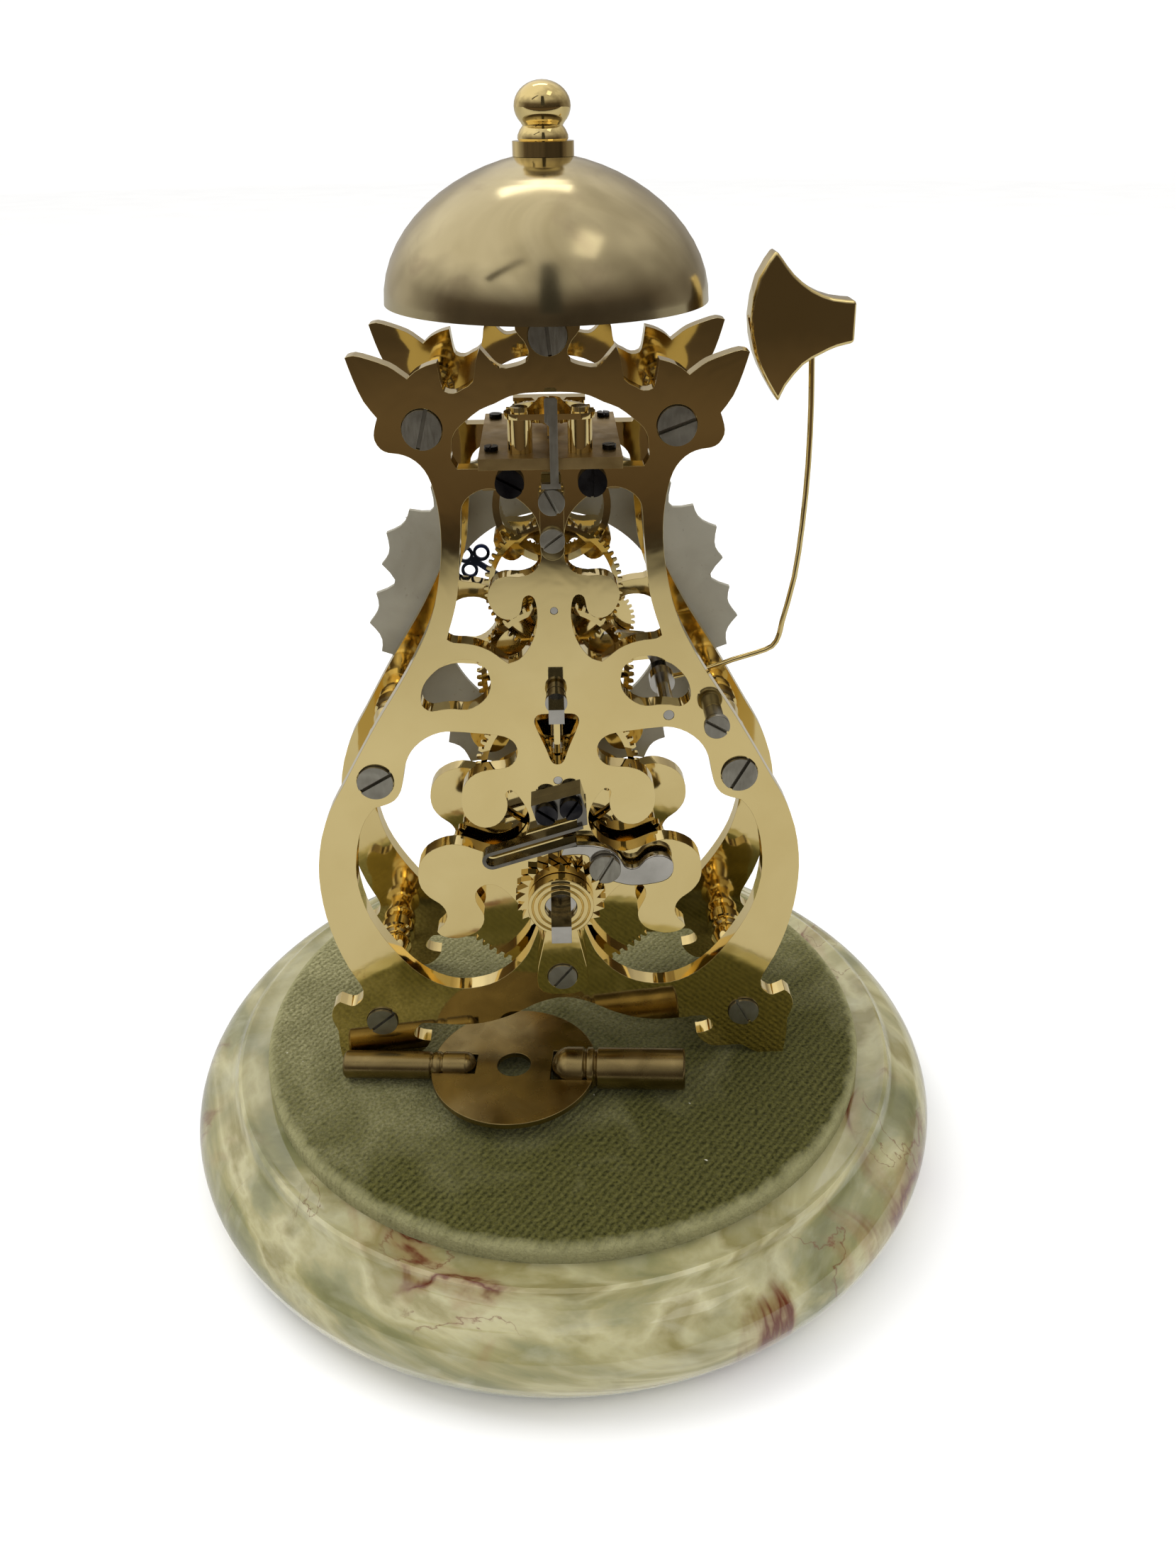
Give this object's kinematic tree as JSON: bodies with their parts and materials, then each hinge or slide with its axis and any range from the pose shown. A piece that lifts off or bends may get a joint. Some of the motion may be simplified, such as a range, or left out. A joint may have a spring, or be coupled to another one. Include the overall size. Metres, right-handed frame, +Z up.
{
  "type": "skeleton clock",
  "caption": "Skeleton clock: scrolled brass plates, going train, lever platform, bell strike and silvered chapter ring on a round onyx base with a winding key.",
  "frame": {"origin": "centre of the base's underside", "axes": "+Z up; +Y from the winding side towards the dial; +X to the right seen from the winding side"},
  "size_m": [0.155, 0.155, 0.1981],
  "materials": {
    "onyx": "polished green onyx with cream clouds and brown veins",
    "felt": "baize",
    "board": "plain",
    "velvet": "olive green velvet with a fine diagonal rib",
    "polished_brass": "mirror polished, lacquered",
    "bell_brass": "tarnished satin",
    "aged_brass": "brown patina",
    "polished_steel": "polished",
    "screw_steel": "satin grey, slotted",
    "black_steel": "blackened",
    "blued_steel": "heat blued",
    "silvered": "silvered, matt"
  },
  "bodies": {
    "frame": {"onyx_base": "onyx", "base_pad": "felt", "velvet_board": "board", "velvet_cover": "velvet", "base_studs": "screw_steel", "back_plate": "polished_brass", "front_plate": "polished_brass", "foot_pillars": "polished_brass", "shoulder_pillars": "polished_brass", "ear_pillars": "polished_brass", "bell_pillar": "polished_brass", "back_screws": "screw_steel", "front_screws": "screw_steel", "bell": "bell_brass", "bell_finial": "polished_brass", "ratchet_cock": "polished_brass", "cock_screw": "screw_steel", "click_screw": "screw_steel", "click_spring": "polished_steel", "click_spring_screws": "black_steel", "contrate_cock": "polished_brass", "contrate_cock_screws": "screw_steel", "locking_strip": "screw_steel", "platform_brackets": "polished_brass", "platform_plate": "polished_brass", "platform_screws": "black_steel", "platform_cocks": "polished_brass", "chapter_ring": "silvered", "ring_posts": "polished_brass", "hammer_stop": "screw_steel"},
    "barrel": {"barrel_drum": "polished_brass", "great_wheel": "polished_brass", "barrel_cover": "polished_brass", "mainspring": "black_steel"},
    "winding": {"barrel_arbor": "polished_steel", "ratchet_wheel": "polished_brass"},
    "click": {"click": "polished_steel"},
    "second": {"second_wheel": "polished_brass", "second_arbor": "polished_steel"},
    "centre": {"centre_wheel": "polished_brass", "centre_arbor": "polished_steel", "cannon_pinion": "polished_steel", "minute_hand": "blued_steel"},
    "third": {"third_wheel": "polished_brass", "third_arbor": "polished_steel"},
    "contrate": {"contrate_wheel": "polished_brass", "contrate_arbor": "polished_steel"},
    "escape": {"escape_wheel": "polished_brass"},
    "lever": {"lever": "polished_steel"},
    "balance": {"balance_wheel": "polished_brass", "hairspring": "blued_steel"},
    "minute_work": {"minute_wheel": "polished_brass"},
    "hour_work": {"hour_wheel": "polished_brass", "hour_hand": "blued_steel"},
    "hammer": {"hammer_arbor": "polished_steel", "hammer_wire": "polished_brass", "hammer_head": "polished_brass"},
    "key": {"key_disc": "aged_brass", "key_barrels": "aged_brass"}
  },
  "joints": [
    {"name": "hands_turn", "type": "hinge", "parent": "frame", "child": "centre", "pos_m": [0, 0, 0.1062], "axis": [0, -1, 0], "continuous": true},
    {"name": "barrel_turn", "type": "hinge", "parent": "frame", "child": "barrel", "pos_m": [0, 0, 0.065], "axis": [0, -1, 0], "continuous": true},
    {"name": "second_turn", "type": "hinge", "parent": "frame", "child": "second", "pos_m": [0, 0, 0.0893], "axis": [0, -1, 0], "continuous": true},
    {"name": "third_turn", "type": "hinge", "parent": "frame", "child": "third", "pos_m": [0, 0, 0.1215], "axis": [0, -1, 0], "continuous": true},
    {"name": "contrate_turn", "type": "hinge", "parent": "frame", "child": "contrate", "pos_m": [0, 0, 0.1348], "axis": [0, -1, 0], "continuous": true},
    {"name": "escape_turn", "type": "hinge", "parent": "frame", "child": "escape", "pos_m": [0, 0.0076, 0.1485], "axis": [0, 0, 1], "continuous": true},
    {"name": "minute_work_turn", "type": "hinge", "parent": "frame", "child": "minute_work", "pos_m": [0.00885, 0.019, 0.1062], "axis": [0, -1, 0], "continuous": true},
    {"name": "hour_work_turn", "type": "hinge", "parent": "frame", "child": "hour_work", "pos_m": [0, 0.02, 0.1062], "axis": [0, -1, 0], "continuous": true},
    {"name": "winding_turn", "type": "hinge", "parent": "frame", "child": "winding", "pos_m": [0, 0, 0.065], "axis": [0, -1, 0], "continuous": true},
    {"name": "click_lift", "type": "hinge", "parent": "frame", "child": "click", "pos_m": [0.0082, -0.0163, 0.0725], "axis": [0, 1, 0], "range_deg": [0, 10], "stiffness_Nm_per_rad": 0.01, "springref_deg": -2.86, "deforming": ["click_spring"]},
    {"name": "lever_rock", "type": "hinge", "parent": "frame", "child": "lever", "pos_m": [0, 0.004, 0.1485], "axis": [0, 0, 1], "range_deg": [-5, 5]},
    {"name": "balance_swing", "type": "hinge", "parent": "frame", "child": "balance", "pos_m": [0, -0.0035, 0.1505], "axis": [0, 0, 1], "range_deg": [-150, 150], "stiffness_Nm_per_rad": 0.000005},
    {"name": "hammer_swing", "type": "hinge", "parent": "frame", "child": "hammer", "pos_m": [0.0195, 0.0004, 0.1018], "axis": [0, 1, 0], "range_deg": [-3.5, 9], "stiffness_Nm_per_rad": 0.15},
    {"name": "key_lift", "type": "slide", "parent": "frame", "child": "key", "axis": [0, -0.9659, 0.2588], "range_m": [0, 0.1]}
  ],
  "couplings": [
    {"joint": "barrel_turn", "follows": "hands_turn", "ratio": 0.020833},
    {"joint": "second_turn", "follows": "hands_turn", "ratio": -0.16667},
    {"joint": "third_turn", "follows": "hands_turn", "ratio": -8},
    {"joint": "contrate_turn", "follows": "hands_turn", "ratio": 60},
    {"joint": "escape_turn", "follows": "hands_turn", "ratio": -600},
    {"joint": "minute_work_turn", "follows": "hands_turn", "ratio": -0.33333},
    {"joint": "hour_work_turn", "follows": "hands_turn", "ratio": 0.083333}
  ]
}
